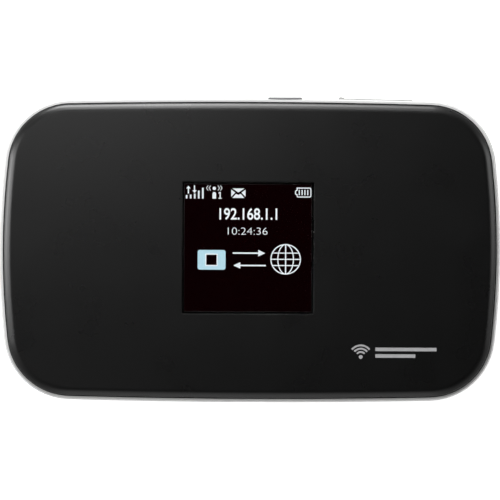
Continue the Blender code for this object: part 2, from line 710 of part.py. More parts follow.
def make_card_socket():
    """Push-push microSD socket: a folded metal shell, open at the card's end, over a plastic base."""
    x, y = around(CARD_X, mm(14.0)), mm(15.6, 30.0)
    low, high = BOARD_HIGH + SOLDER_GAP, CARD_Z + mm(0.75)
    shell = box("card_socket_shell", "shield_metal", x, y, (low, high))
    inside = box(
        "card_socket_inside", None, widened(x, -SHEET), (y[0] + SHEET, y[1] + OVER),
        (low - OVER, high - SHEET),
    )
    base_x, base_y, base_thickness = widened(x, -SHEET - GAP), (y[0] + SHEET + GAP, y[1]), mm(0.3)
    base = box("card_socket_base", "plastic_black", base_x, base_y, (low, low + base_thickness))
    return [cut(shell, inside), base]


def make_usb_port():
    """Micro-USB receptacle: metal shell with chamfered lower corners, and the plastic tongue inside it."""
    width, depth, height = USB_SIZE
    rear_y = USB_FRONT_Y + depth
    wall, slope = mm(0.25, 0.7)

    def mouth(inset):
        half, top, bottom = width / 2 - inset, USB_Z + height / 2 - inset, USB_Z - height / 2 + inset
        return [
            (-half, top), (-half, bottom + slope), (-half + slope, bottom),
            (half - slope, bottom), (half, bottom + slope), (half, top),
        ]

    shell = prism("usb_shell", "shield_metal", mouth(0), (USB_FRONT_Y, rear_y), axis="Y")
    cut(shell, prism("usb_bore", None, mouth(wall), (USB_FRONT_Y - OVER, rear_y + OVER), axis="Y"))
    block_y = (rear_y - mm(1.2), rear_y - mm(0.1))
    block = prism("usb_tongue", "plastic_black", mouth(wall + mm(0.1)), block_y, axis="Y")
    blade_y, blade_z = (USB_FRONT_Y + mm(0.9), rear_y - mm(0.5)), (USB_Z + mm(0.05), USB_Z + mm(0.65))
    blade = box("usb_tongue_blade", None, around(0, mm(3.7)), blade_y, blade_z)
    return [shell, join(block, blade)]


def make_power_key():
    """Power key with its flange and nub, and the plunger of the switch behind it, which moves with it."""
    outer_y = long_edge_y(KEY_X, CASE_FLARE) + KEY_PROUD
    cap = prism(
        "power_key", "key_grey", rounded_rectangle((KEY_X, KEY_Z), KEY_SIZE, pill_radius(KEY_SIZE), steps=6),
        (KEY_FLANGE_Y[1] - mm(0.2), outer_y), axis="Y", place=(KEY_X, outer_y, KEY_Z),
    )
    bevel = cap.modifiers.new("Edge round", "BEVEL")
    bevel.width = mm(0.2)
    bevel.segments = 2
    bevel.limit_method = "ANGLE"
    flange = box("key_flange", None, around(KEY_X, mm(9.2)), KEY_FLANGE_Y, around(KEY_Z, mm(3.0)))
    plunger_y, body_y = mm(28.2, 29.4), mm(27.0, 28.7)
    nub_y = (plunger_y[1] + SOLDER_GAP, KEY_FLANGE_Y[0] + mm(0.2))
    nub = box("key_nub", None, around(KEY_X, mm(2.0)), nub_y, around(SWITCH_Z, mm(1.0)))
    join(cap, flange, nub)
    plunger = box(
        "power_switch_plunger", "plastic_black", around(KEY_X, mm(1.5)), plunger_y, around(SWITCH_Z, mm(0.8))
    )
    group_under_empty("power_key_slide", (KEY_X, outer_y, KEY_Z), [cap, plunger])
    body_z = (BOARD_HIGH + SOLDER_GAP, SWITCH_Z + mm(0.75))
    body = box("power_switch", "shield_metal", around(KEY_X, mm(4.6)), body_y, body_z, mm(0.1))
    well_y = (plunger_y[0] - mm(0.6), plunger_y[1] + mm(0.1))
    well = box("switch_well", None, around(KEY_X, mm(1.9)), well_y, around(SWITCH_Z, mm(1.1)))
    return [cap, plunger, cut(body, well)]


def make_reset_switch():
    """Small switch under the board, over the housing's pin hole."""
    body_z, well_z, button_z = mm(7.3, 8.2), mm(7.0, 7.9), mm(7.0, 7.6)
    well_radius, button_radius = mm(0.75, 0.55)
    body = box(
        "reset_switch", "shield_metal", around(RESET_X, mm(3.0)), around(RESET_Y, mm(2.6)), body_z, mm(0.1)
    )
    well = cylinder("reset_well", None, RESET_X, RESET_Y, well_z, well_radius, segments=16)
    button = cylinder("reset_button", "plastic_black", RESET_X, RESET_Y, button_z, button_radius, segments=16)
    return [cut(body, well), button]


def make_sim_parts():
    """SIM socket on the underside of the board, and the card that slides into it along +Y."""
    hood_x, hood_y = around(SIM_X, mm(13.8)), around(SIM_Y + mm(1.2), mm(13.6))
    hood_z, base_low = mm(6.85, 8.2), mm(8.0)
    hood = box("sim_hood", "shield_metal", hood_x, hood_y, hood_z)
    inside = box(
        "sim_hood_inside", None, widened(hood_x, -SHEET), (hood_y[0] - OVER, hood_y[1] - SHEET),
        (hood_z[0] + SHEET, hood_z[1] + OVER),
    )
    window_z = (hood_z[0] - OVER, hood_z[1] - SHEET)
    window = box("sim_hood_window", None, around(SIM_X, mm(7)), around(SIM_Y, mm(6)), window_z)
    base_y = (hood_y[0] + GAP, hood_y[1] - SHEET - GAP)
    base = box("sim_base", "plastic_black", widened(hood_x, -SHEET - GAP), base_y, (base_low, hood_z[1]))
    half_x, half_y, chamfer = SIM_SIZE[0] / 2, SIM_SIZE[1] / 2, mm(2.0)
    outline = [
        (-half_x, -half_y), (half_x, -half_y), (half_x, half_y - chamfer), (half_x - chamfer, half_y),
        (-half_x, half_y),
    ]
    placed = [(SIM_X + x, SIM_Y + y) for x, y in outline]
    card = prism(
        "sim_card", "sim_white", placed, (SIM_LOW, SIM_LOW + SIM_SIZE[2]), place=(SIM_X, SIM_Y, SIM_LOW)
    )
    return [cut(hood, inside, window), base, card]


def make_antennas():
    """Plastic carriers along both ends, each with a copper antenna of meander shape on top."""
    pieces = []
    for side, carrier_name, trace_name in (
        (-1, "antenna_carrier_left", "main_antenna"), (1, "antenna_carrier_right", "diversity_antenna"),
    ):
        half_length, depth, inset, low, high = mm(14.5, 3.8, 2.3, 9.3, 12.7)
        steps = 6
        edge = [-half_length + 2 * half_length * i / steps for i in range(steps + 1)]
        outer = [(side * side_edge_x(y, -inset), y) for y in edge]
        inner = [(side * side_edge_x(y, -inset - depth), y) for y in edge]
        pieces.append(prism(carrier_name, "plastic_black", outer + in_reverse(inner), (low, high)))
        trace_x, trace_width = side * (side_edge_x(half_length) - mm(4.4)), mm(3.0)
        trace_z = (high + mm(0.03), high + mm(0.13))
        trace = meander(trace_x, trace_width, half_length - mm(1))
        pieces.append(prism(trace_name, "antenna_copper", trace, trace_z))
    return pieces


def meander(x, width, half_length):
    """Outline of a strip that folds to and fro along Y, with slots cut in turn from its left and right."""
    slots = 6
    pitch = 2 * half_length / slots
    neck, slot = mm(0.7), pitch * 0.4
    left, right = x - width / 2, x + width / 2
    right_edge, left_edge = [], []
    for i in range(slots):
        start = -half_length + pitch * (i + 0.5) - slot / 2
        edge, far = (right_edge, left + neck) if i % 2 else (left_edge, right - neck)
        near = right if i % 2 else left
        edge += [(near, start), (far, start), (far, start + slot), (near, start + slot)]
    return [(left, -half_length), (right, -half_length)] + right_edge + [
        (right, half_length), (left, half_length)
    ] + in_reverse(left_edge)


def make_battery_connector():
    """Contact block under the board, with three V springs that reach through the bay wall to the battery."""
    x, y, z = mm(28.6, 33.0), mm(-22.0, -17.2), mm(3.6, 8.2)
    pieces = [box("battery_connector", "plastic_black", x, y, z, mm(0.2))]
    thickness, width, root = mm(0.15, 0.6, 0.05)
    tip_x = BATTERY_X[1] - CONTACT_DEPTH + CONTACT_PLATE + mm(0.2)
    middle_z, tip_height, height = mm(5.1, 0.2, 2.2)
    tip_z, root_z = around(middle_z, tip_height), around(middle_z, height)
    path = [(x[0] - root, root_z[0]), (tip_x, tip_z[0]), (tip_x, tip_z[1]), (x[0] - root, root_z[1])]
    for i, contact_y in enumerate(CONTACT_Y, start=1):
        spring_y = around(contact_y, width)
        pieces.append(make_strip(f"battery_spring_{i}", "contact_gold", path, thickness, spring_y, "Y"))
    return pieces


# --- Battery, battery cover and card door -----------------------------------------------------------------


def make_battery():
    """Battery pack: wrapped cell, end block and three contact plates that lie in the block's recesses."""
    block_length, seam, inset, cell_round, block_round = mm(1.3, 0.05, 0.2, 1.2, 0.9)
    cell_x = (BATTERY_X[0], BATTERY_X[1] - block_length - seam)
    cell = box("battery_cell", "battery_wrap", cell_x, BATTERY_Y, BATTERY_Z, cell_round, "X", segments=3)
    block_x = (BATTERY_X[1] - block_length, BATTERY_X[1])
    block_y, block_z = widened(BATTERY_Y, -inset), widened(BATTERY_Z, -inset)
    block = box("battery_end_block", "plastic_black", block_x, block_y, block_z, block_round, "X")
    floor_x = block_x[1] - CONTACT_DEPTH
    recess_x, recess_z, recess_width = (floor_x, block_x[1] + OVER), mm(3.4, 8.0), mm(1.2)
    plate_x, plate_z, plate_width = (floor_x + mm(0.03), floor_x + CONTACT_PLATE), mm(3.6, 6.6), mm(1.0)
    plates, recesses = [], []
    for i, y in enumerate(CONTACT_Y, start=1):
        recesses.append(box(f"block_recess_{i}", None, recess_x, around(y, recess_width), recess_z))
        plates.append(box(f"battery_contact_{i}", "contact_gold", plate_x, around(y, plate_width), plate_z))
    cut(block, *recesses)
    group_under_empty("battery_slide", (0, 0, BATTERY_Z[0]), [cell, block, *plates])
    label_x, label_y, label_z = mm(-32, 14), mm(-17, 17), (BAY_CEILING - mm(0.13), BAY_CEILING - mm(0.03))
    label = box("rating_label", "label_white", label_x, label_y, label_z)
    return [cell, block, *plates, label]


def make_battery_cover():
    """White rear shell that snaps over the housing's spigot, with locating tabs and a fingernail notch."""
    outer_rim, outer_floor, inner_rim, inner_floor = mm(0.70, -3.5, -0.5, -4.3)
    outside = in_reverse(rounded((outer_rim, COVER_RIM), (outer_floor, 0), steps=7))
    cover = loft("battery_cover", "case_white", outside, COVER_STEPS)
    inside = in_reverse(rounded((inner_rim, COVER_RIM), (inner_floor, COVER_FLOOR)))
    inside.append((inner_rim, COVER_RIM + OVER))
    cut(cover, loft("cover_cavity", None, inside, COVER_STEPS))
    tab_z = (COVER_FLOOR - mm(0.3), TAB_TOP)
    tabs = []
    for i, (x, y, along_y) in enumerate(TAB_PLACES):
        size = (TAB_SIZE[1], TAB_SIZE[0]) if along_y else TAB_SIZE
        tabs.append(box(f"cover_tab_{i}", None, around(x, size[0]), around(y, size[1]), tab_z))
    join(cover, *tabs)
    notch_centre, notch_size, notch_radius = (mm(34), COVER_RIM), mm(10, 1.6), mm(0.7)
    notch = rounded_rectangle(notch_centre, notch_size, notch_radius)
    return cut(cover, prism("nail_notch", None, notch, mm(-34, -28), axis="Y"))


def make_card_door():
    """Card slot door: it swings on the end of a tether that is anchored inside the case."""
    grow = CASE_FLARE + DOOR_PROUD
    lip, lip_length = mm(0.3, 1.3)
    steps = 4
    back = [(x, long_edge_y(x, grow - DOOR_THICKNESS)) for x in DOOR_X]
    front_x = [DOOR_X[1] + (DOOR_X[0] + lip_length - DOOR_X[1]) * i / steps for i in range(steps + 1)]
    front = [(x, long_edge_y(x, grow)) for x in front_x]
    front += [
        (DOOR_X[0] + lip_length * 0.6, long_edge_y(DOOR_X[0], grow + lip)),
        (DOOR_X[0] + mm(0.15), long_edge_y(DOOR_X[0], grow + lip)),
        (DOOR_X[0], long_edge_y(DOOR_X[0], grow + lip / 2)),
    ]
    hinge = (DOOR_X[1], long_edge_y(DOOR_X[1], grow), (DOOR_Z[0] + DOOR_Z[1]) / 2)
    door = prism("card_door", "door_grey", back + front, DOOR_Z, place=hinge)
    rib_y = (long_edge_y(CARD_X, CASE_INSIDE) + GAP, long_edge_y(CARD_X, grow - DOOR_THICKNESS / 2))
    rib_length, rib_height = mm(11.6, 1.2)
    rib = box("door_rib", None, around(CARD_X, rib_length), rib_y, around(CARD_Z, rib_height))
    join(door, rib)
    group_under_empty("card_door_hinge", hinge, [door])
    strap = [mm(33.2, 27.4), mm(35.8, 27.4), mm(35.8, 28.6), mm(34.3, 28.6), mm(34.3, 31.05), mm(33.2, 31.05)]
    tether = prism("door_tether", "door_grey", strap, around(CARD_Z, mm(1.1)))
    return [door, tether]


def build():
    clear_scene()
    fixed = [make_front_cover(), *make_display_window(), *make_display(), make_housing(), *make_screws()]
    fixed += [make_main_board(), *make_radio_parts(), *make_card_socket(), *make_usb_port(), *make_antennas()]
    fixed += make_battery_connector()
    fixed += make_power_key() + make_reset_switch() + make_sim_parts() + make_battery()
    fixed += [make_battery_cover()] + make_card_door()
    group_under_empty("hotspot", (0, 0, 0), [part for part in fixed if part.parent is None])


build()
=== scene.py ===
"""Looks of the mobile hotspot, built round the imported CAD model.

The hotspot lies on its battery cover: +Z points up out of the display, +X runs to the right along the long
side and +Y points to the edge with the power key. Lengths are in metres; mm() makes them from millimetres.
"""

import json
import math

import bmesh
import bpy
from mathutils import Matrix, Vector


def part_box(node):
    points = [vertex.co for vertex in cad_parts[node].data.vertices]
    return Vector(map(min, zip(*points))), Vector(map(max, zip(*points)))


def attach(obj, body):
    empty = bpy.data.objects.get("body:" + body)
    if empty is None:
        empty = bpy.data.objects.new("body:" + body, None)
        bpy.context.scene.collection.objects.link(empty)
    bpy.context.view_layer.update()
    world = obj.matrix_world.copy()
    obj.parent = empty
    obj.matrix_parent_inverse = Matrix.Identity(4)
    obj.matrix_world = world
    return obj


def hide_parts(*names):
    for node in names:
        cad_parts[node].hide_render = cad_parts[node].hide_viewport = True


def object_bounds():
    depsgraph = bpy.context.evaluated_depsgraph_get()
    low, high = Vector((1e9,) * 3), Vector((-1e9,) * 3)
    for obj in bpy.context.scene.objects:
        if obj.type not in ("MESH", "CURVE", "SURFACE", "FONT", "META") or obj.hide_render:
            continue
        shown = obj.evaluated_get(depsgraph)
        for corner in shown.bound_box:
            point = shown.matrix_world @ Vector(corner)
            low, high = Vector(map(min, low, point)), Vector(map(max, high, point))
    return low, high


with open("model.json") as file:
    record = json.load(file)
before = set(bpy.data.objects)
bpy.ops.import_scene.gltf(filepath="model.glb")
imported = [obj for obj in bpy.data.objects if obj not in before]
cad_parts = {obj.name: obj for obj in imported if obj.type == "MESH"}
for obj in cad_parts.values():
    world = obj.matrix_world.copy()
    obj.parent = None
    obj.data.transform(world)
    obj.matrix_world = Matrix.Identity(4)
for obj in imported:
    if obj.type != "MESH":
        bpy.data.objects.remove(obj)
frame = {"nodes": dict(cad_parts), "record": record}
cad_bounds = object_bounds()


def mm(*values):
    """Millimetres as metres: one number, or a tuple of them."""
    metres = tuple(value * 0.001 for value in values)
    return metres[0] if len(metres) == 1 else metres


# Outline of the black face, as in the CAD: four bowed sides joined by corner arcs.
FACE_HALF_WIDTH = mm(52.5)
FACE_HALF_HEIGHT = mm(31.55)
SIDE_BOW_RADIUS = mm(171.5)
LONG_BOW_RADIUS = mm(1590)
CORNER_RADIUS = mm(13.35)
CORNER_STEPS = 28
BOW_STEPS = 14

# The front's section: how far its wall stands in from that outline, how far its rounded edge reaches inwards
# and down, how deep its wall is and how thick its top is.
FRONT_INSET = mm(0.25)
EDGE_ROUND = mm(1.9)
EDGE_DROP = mm(0.5)
FRONT_DEPTH = mm(2.95)
FRONT_THICKNESS = mm(1.3)

# Heights and places, read from the CAD's nodes.
BOSS_LOW, FRONT = (corner.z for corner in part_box("front_cover"))
FRONT_INSIDE = FRONT - FRONT_THICKNESS
WINDOW_LOW, WINDOW_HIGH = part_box("display_window")
WINDOW_X = (WINDOW_LOW.x + WINDOW_HIGH.x) / 2
WINDOW_Y = (WINDOW_LOW.y + WINDOW_HIGH.y) / 2
WINDOW_CENTRE = (WINDOW_X, WINDOW_Y)
WINDOW = WINDOW_HIGH.x - WINDOW_LOW.x
PANEL_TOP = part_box("display_panel")[1].z
SCREWS = [node for node in frame["nodes"] if node.startswith("screw_")]


# --- Finishes --------------------------------------------------------------------------------------------


class Finish:
    """A Principled material built from nodes. Textures read object coordinates, in metres."""

    def __init__(self, name, colour, roughness, metallic=0.0, **sockets):
        self.material = bpy.data.materials.new(name)
        self.material.use_nodes = True
        self.nodes = self.material.node_tree.nodes
        self.links = self.material.node_tree.links
        self.shader = self.nodes["Principled BSDF"]
        self.shader.inputs["Base Color"].default_value = (*colour, 1.0)
        self.shader.inputs["Roughness"].default_value = roughness
        self.shader.inputs["Metallic"].default_value = metallic
        for socket, value in sockets.items():
            self.shader.inputs[socket.replace("_", " ")].default_value = value
        self.position = self.nodes.new("ShaderNodeTexCoord").outputs["Object"]

    def add(self, kind, **values):
        """A new node. Values that are sockets are linked, and the others are set."""
        node = self.nodes.new(kind)
        for name, value in values.items():
            socket = node.inputs.get(name.replace("_", " "))
            if isinstance(value, bpy.types.NodeSocket):
                self.links.new(value, socket)
            elif socket is not None:
                socket.default_value = value
            else:
                setattr(node, name, value)
        return node

    def noise(self, size, detail=3.0, stretch=(1, 1, 1)):
        """Noise whose blotches are about size across, as a 0 to 1 socket."""
        mapping = self.add("ShaderNodeMapping", Vector=self.position, Scale=stretch)
        place = mapping.outputs["Vector"]
        return self.add("ShaderNodeTexNoise", Vector=place, Scale=1 / size, Detail=detail).outputs["Fac"]

    def between(self, factor, low, high, start=0.3, end=0.7):
        """A number that goes from low to high as the factor goes from start to end."""
        node = self.add("ShaderNodeMapRange", Value=factor)
        for index, value in enumerate((start, end, low, high), start=1):
            node.inputs[index].default_value = value
        return node.outputs["Result"]

    def blend(self, factor, first, second):
        """A colour between two colours, each a tuple or a socket."""
        node = self.add("ShaderNodeMix", data_type="RGBA")
        self.links.new(factor, node.inputs["Factor"])
        for index, colour in ((6, first), (7, second)):
            if isinstance(colour, bpy.types.NodeSocket):
                self.links.new(colour, node.inputs[index])
            else:
                node.inputs[index].default_value = (*colour, 1.0)
        return node.outputs[2]

    def colour(self, socket):
        """Takes the base colour from a socket."""
        self.links.new(socket, self.shader.inputs["Base Color"])
        return self

    def vary_colour(self, size, first, second):
        """Makes the base colour drift between two colours, in blotches about size across."""
        return self.colour(self.blend(self.between(self.noise(size), 0.0, 1.0), first, second))

    def vary_roughness(self, size, low, high, stretch=(1, 1, 1)):
        """Makes the roughness drift between low and high, in blotches about size across."""
        roughness = self.between(self.noise(size, stretch=stretch), low, high)
        self.links.new(roughness, self.shader.inputs["Roughness"])
        return self

    def bump(self, height, depth):
        """Bumps the surface by a 0 to 1 socket, depth high, on top of its earlier bumps."""
        node = self.add("ShaderNodeBump", Strength=1.0, Distance=depth, Height=height)
        before = self.shader.inputs["Normal"].links
        if before:
            self.links.new(before[0].from_socket, node.inputs["Normal"])
        self.links.new(node.outputs["Normal"], self.shader.inputs["Normal"])
        return self

    def grain(self, size, depth, stretch=(1, 1, 1)):
        """Gives the surface a fine grain, depth high."""
        return self.bump(self.noise(size, detail=2.0, stretch=stretch), depth)


def make_finishes():
    """One procedural material for each material slot of the record."""
    finishes = {}
    finishes["front_black"] = (
        Finish("front_black", (0.0003, 0.0003, 0.0003), 0.28, IOR=1.65)
        .vary_colour(mm(6), (0.0002, 0.0002, 0.0002), (0.0004, 0.0004, 0.0004))
        .vary_roughness(mm(9), 0.27, 0.29)
        .grain(mm(0.35), mm(0.0003))
    )
    finishes["case_white"] = (
        Finish("case_white", (0.74, 0.74, 0.735), 0.46, IOR=1.49)
        .vary_colour(mm(12), (0.73, 0.73, 0.725), (0.75, 0.75, 0.745))
        .vary_roughness(mm(3), 0.43, 0.49)
        .grain(mm(0.25), mm(0.0012))
    )
    finishes["key_grey"] = (
        Finish("key_grey", (0.18, 0.183, 0.187), 0.42)
        .vary_colour(mm(1.5), (0.17, 0.173, 0.177), (0.19, 0.193, 0.197))
        .grain(mm(0.12), mm(0.001))
    )
    finishes["door_grey"] = (
        Finish("door_grey", (0.44, 0.44, 0.435), 0.55)
        .vary_colour(mm(4), (0.42, 0.42, 0.415), (0.46, 0.46, 0.455))
        .vary_roughness(mm(1), 0.5, 0.6)
        .grain(mm(0.15), mm(0.002))
    )
    lens = Finish("window_clear", (0.97, 0.97, 0.98), 0.02, IOR=1.45, Transmission_Weight=1.0)
    finishes["window_clear"] = lens.vary_roughness(mm(8), 0.015, 0.03)
    finishes["panel_black"] = (
        Finish(
            "panel_black", (0.0005, 0.0, 0.0), 0.15, Specular_IOR_Level=0.0,
            Emission_Color=(0.0028, 0.0, 0.0003, 1.0), Emission_Strength=1.0,
        )
        .vary_roughness(mm(5), 0.10, 0.15)
    )
    finishes["foam_black"] = (
        Finish("foam_black", (0.004, 0.004, 0.004), 0.95, Specular_IOR_Level=0.1)
        .vary_colour(mm(0.3), (0.003, 0.003, 0.003), (0.006, 0.006, 0.006))
        .grain(mm(0.15), mm(0.03))
    )
    finishes["board_green"] = board_finish()
    finishes["shield_metal"] = (
        Finish("shield_metal", (0.60, 0.60, 0.58), 0.32, metallic=1.0)
        .vary_colour(mm(5), (0.56, 0.56, 0.54), (0.66, 0.66, 0.64))
        .vary_roughness(mm(1.2), 0.24, 0.42, stretch=(0.15, 1, 1))
        .grain(mm(0.08), mm(0.0015), stretch=(0.1, 1, 1))
    )
    finishes["chip_black"] = (
        Finish("chip_black", (0.02, 0.02, 0.021), 0.6)
        .vary_colour(mm(0.6), (0.016, 0.016, 0.017), (0.028, 0.028, 0.029))
        .grain(mm(0.08), mm(0.004))
    )
    finishes["plastic_black"] = (
        Finish("plastic_black", (0.014, 0.014, 0.015), 0.45)
        .vary_colour(mm(3), (0.012, 0.012, 0.013), (0.018, 0.018, 0.019))
        .vary_roughness(mm(0.8), 0.4, 0.5)
        .grain(mm(0.12), mm(0.003))
    )
    finishes["contact_gold"] = (
        Finish("contact_gold", (0.83, 0.60, 0.24), 0.24, metallic=1.0)
        .vary_roughness(mm(0.5), 0.18, 0.32)
        .grain(mm(0.1), mm(0.001))
    )
    finishes["antenna_copper"] = (
        Finish("antenna_copper", (0.76, 0.42, 0.25), 0.34, metallic=1.0)
        .vary_colour(mm(2), (0.70, 0.38, 0.22), (0.82, 0.48, 0.30))
        .grain(mm(0.1), mm(0.0015))
    )
    finishes["screw_steel"] = (
        Finish("screw_steel", (0.34, 0.34, 0.35), 0.33, metallic=1.0)
        .vary_roughness(mm(0.6), 0.26, 0.42)
        .grain(mm(0.1), mm(0.0015))
    )
    finishes["flex_amber"] = (
        Finish("flex_amber", (0.42, 0.17, 0.025), 0.35)
        .vary_colour(mm(1), (0.38, 0.15, 0.02), (0.46, 0.20, 0.03))
        .grain(mm(0.5), mm(0.004), stretch=(3, 0.3, 1))
    )
    finishes["battery_wrap"] = (
        Finish("battery_wrap", (0.055, 0.057, 0.062), 0.42)
        .vary_colour(mm(9), (0.050, 0.052, 0.056), (0.062, 0.064, 0.070))
        .vary_roughness(mm(2), 0.38, 0.48)
        .grain(mm(1.2), mm(0.006), stretch=(1, 0.3, 1))
    )
    finishes["label_white"] = (
        Finish("label_white", (0.76, 0.76, 0.74), 0.6)
        .vary_colour(mm(1.5), (0.74, 0.74, 0.72), (0.78, 0.78, 0.76))
        .grain(mm(0.2), mm(0.003))
    )
    finishes["sim_white"] = (
        Finish("sim_white", (0.80, 0.80, 0.78), 0.42)
        .vary_colour(mm(3), (0.78, 0.78, 0.76), (0.82, 0.82, 0.80))
        .grain(mm(0.15), mm(0.002))
    )
    return {name: finish.material for name, finish in finishes.items()}


def board_finish():
    """Green solder mask with copper tracks that show through it as lighter bands."""
    board = Finish("board_green", (0.02, 0.11, 0.05), 0.38)
    track_spacing = mm(2.2)
    cells = board.add(
        "ShaderNodeTexVoronoi", Vector=board.position, Scale=1 / track_spacing,
        feature="DISTANCE_TO_EDGE", distance="CHEBYCHEV",
    )
    tracks = board.between(cells.outputs["Distance"], 1.0, 0.0, start=0.05, end=0.07)
    board.colour(board.blend(tracks, (0.012, 0.085, 0.040), (0.030, 0.150, 0.075)))
    return board.bump(tracks, mm(0.02)).grain(mm(0.2), mm(0.002))


def glow(name, colour):
    """A lit part of the display's picture, a little uneven from dot to dot."""
    lit = Finish(name, (0.01, 0.01, 0.01), 0.5, Emission_Color=(*colour, 1.0))
    dots = lit.noise(mm(0.25), detail=1.0)
    lit.links.new(lit.between(dots, 0.95, 1.0), lit.shader.inputs["Emission Strength"])
    return lit.material


FINISHES = make_finishes()


# --- Mesh helpers ----------------------------------------------------------------------------------------


def corner_centre():
    """Centre of the corner arc at +X +Y, which touches the side arc and the long arc from inside."""
    side = Vector((FACE_HALF_WIDTH - SIDE_BOW_RADIUS, 0))
    long = Vector((0, FACE_HALF_HEIGHT - LONG_BOW_RADIUS))
    from_side = SIDE_BOW_RADIUS - CORNER_RADIUS
    from_long = LONG_BOW_RADIUS - CORNER_RADIUS
    line = long - side
    along = (from_side**2 - from_long**2 + line.length_squared) / (2 * line.length)
    across = math.sqrt(from_side**2 - along**2)
    direction = line.normalized()
    return side + along * direction + across * Vector((-direction.y, direction.x))


def case_outline(grow, height):
    """The face's outline at a height, grown outwards by grow, counterclockwise seen from above."""
    corner = corner_centre()
    side_x = FACE_HALF_WIDTH - SIDE_BOW_RADIUS
    long_y = FACE_HALF_HEIGHT - LONG_BOW_RADIUS
    low = math.atan2(corner.y, corner.x - side_x)
    high = math.atan2(corner.y - long_y, corner.x)
    arcs = []
    for sign, turn in ((1, 0.0), (-1, math.pi)):
        far = turn + math.pi
        arcs += [
            ((sign * side_x, 0), SIDE_BOW_RADIUS, turn - low, turn + low, BOW_STEPS),
            ((sign * corner.x, sign * corner.y), CORNER_RADIUS, turn + low, turn + high, CORNER_STEPS),
            ((0, sign * long_y), LONG_BOW_RADIUS, turn + high, far - high, BOW_STEPS),
            ((-sign * corner.x, sign * corner.y), CORNER_RADIUS, far - high, far - low, CORNER_STEPS),
        ]
    points = []
    for centre, radius, start, end, steps in arcs:
        for step in range(steps):
            angle = start + (end - start) * step / steps
            across, up = (radius + grow) * math.cos(angle), (radius + grow) * math.sin(angle)
            points.append(Vector((centre[0] + across, centre[1] + up, height)))
    return points


def rounded(start, end, steps=12, first=0):
    """An elliptical arc of (grow, height) points, from first degrees up the ellipse to its level top."""
    begin = math.radians(first)
    across = (start[0] - end[0]) / math.cos(begin)
    up = (end[1] - start[1]) / (1 - math.sin(begin))
    points = []
    for step in range(steps + 1):
        angle = begin + (math.pi / 2 - begin) * step / steps
        points.append((end[0] + across * math.cos(angle), end[1] - up * (1 - math.sin(angle))))
    return points


def circle(centre, radius, height, steps=32):
    """A circle at a height, counterclockwise."""
    middle = Vector((*centre, height))
    angles = [math.tau * step / steps for step in range(steps)]
    return [middle + radius * Vector((math.cos(angle), math.sin(angle), 0)) for angle in angles]


def rounded_square(centre, half, radius, height, steps=6):
    """A square with rounded corners at a height, counterclockwise."""
    points = []
    for quarter in range(4):
        side, top = ((1, 1), (-1, 1), (-1, -1), (1, -1))[quarter]
        middle = Vector((centre[0] + side * (half - radius), centre[1] + top * (half - radius), height))
        for step in range(steps + 1):
            angle = math.pi / 2 * (quarter + step / steps)
            points.append(middle + radius * Vector((math.cos(angle), math.sin(angle), 0)))
    return points


def join_rings(shape, first, second):
    """Joins two rings of vertices with quads."""
    count = len(first)
    for i in range(count):
        j = (i + 1) % count
        shape.faces.new((first[i], first[j], second[j], second[i]))


def add_rings(shape, rings):
    """Joins a list of rings with quads, and returns the rings' vertices."""
    made = [[shape.verts.new(point) for point in ring] for ring in rings]
    for lower, upper in zip(made, made[1:]):
        join_rings(shape, lower, upper)
    return made


def ring_edges(shape, ring):
    """The edges round a ring of vertices."""
    return [shape.edges.get((ring[i], ring[(i + 1) % len(ring)])) for i in range(len(ring))]


def fill_between(shape, outer, inner, up):
    """Fills the flat area between two rings, with faces that look up (1) or down (-1)."""
    edges = ring_edges(shape, outer) + ring_edges(shape, inner)
    bmesh.ops.triangle_fill(shape, use_beauty=True, use_dissolve=False, edges=edges, normal=(0, 0, up))


def new_piece(name, shape, smooth_angle=40):
    """Turns a bmesh into a piece, shaded smooth across edges flatter than smooth_angle."""
    bmesh.ops.recalc_face_normals(shape, faces=shape.faces)
    mesh = bpy.data.meshes.new(name)
    shape.to_mesh(mesh)
    shape.free()
    mesh.shade_smooth()
    mesh.set_sharp_from_angle(angle=math.radians(smooth_angle))
    piece = bpy.data.objects.new(name, mesh)
    bpy.context.scene.collection.objects.link(piece)
    return piece


def even_normals(piece):
    """Lets large flat faces set the normals at their edges, so that they shade flat."""
    modifier = piece.modifiers.new("Even normals", "WEIGHTED_NORMAL")
    modifier.keep_sharp = True
    return piece


def fit_to_case(piece, slot, *replaced):
    """Makes the piece ride on the case, belong to a material slot, and stand for CAD nodes."""
    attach(piece, "case")
    if not piece.data.materials:
        piece.data.materials.append(FINISHES[slot])
    if replaced:
        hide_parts(*replaced)


# --- Front -----------------------------------------------------------------------------------------------


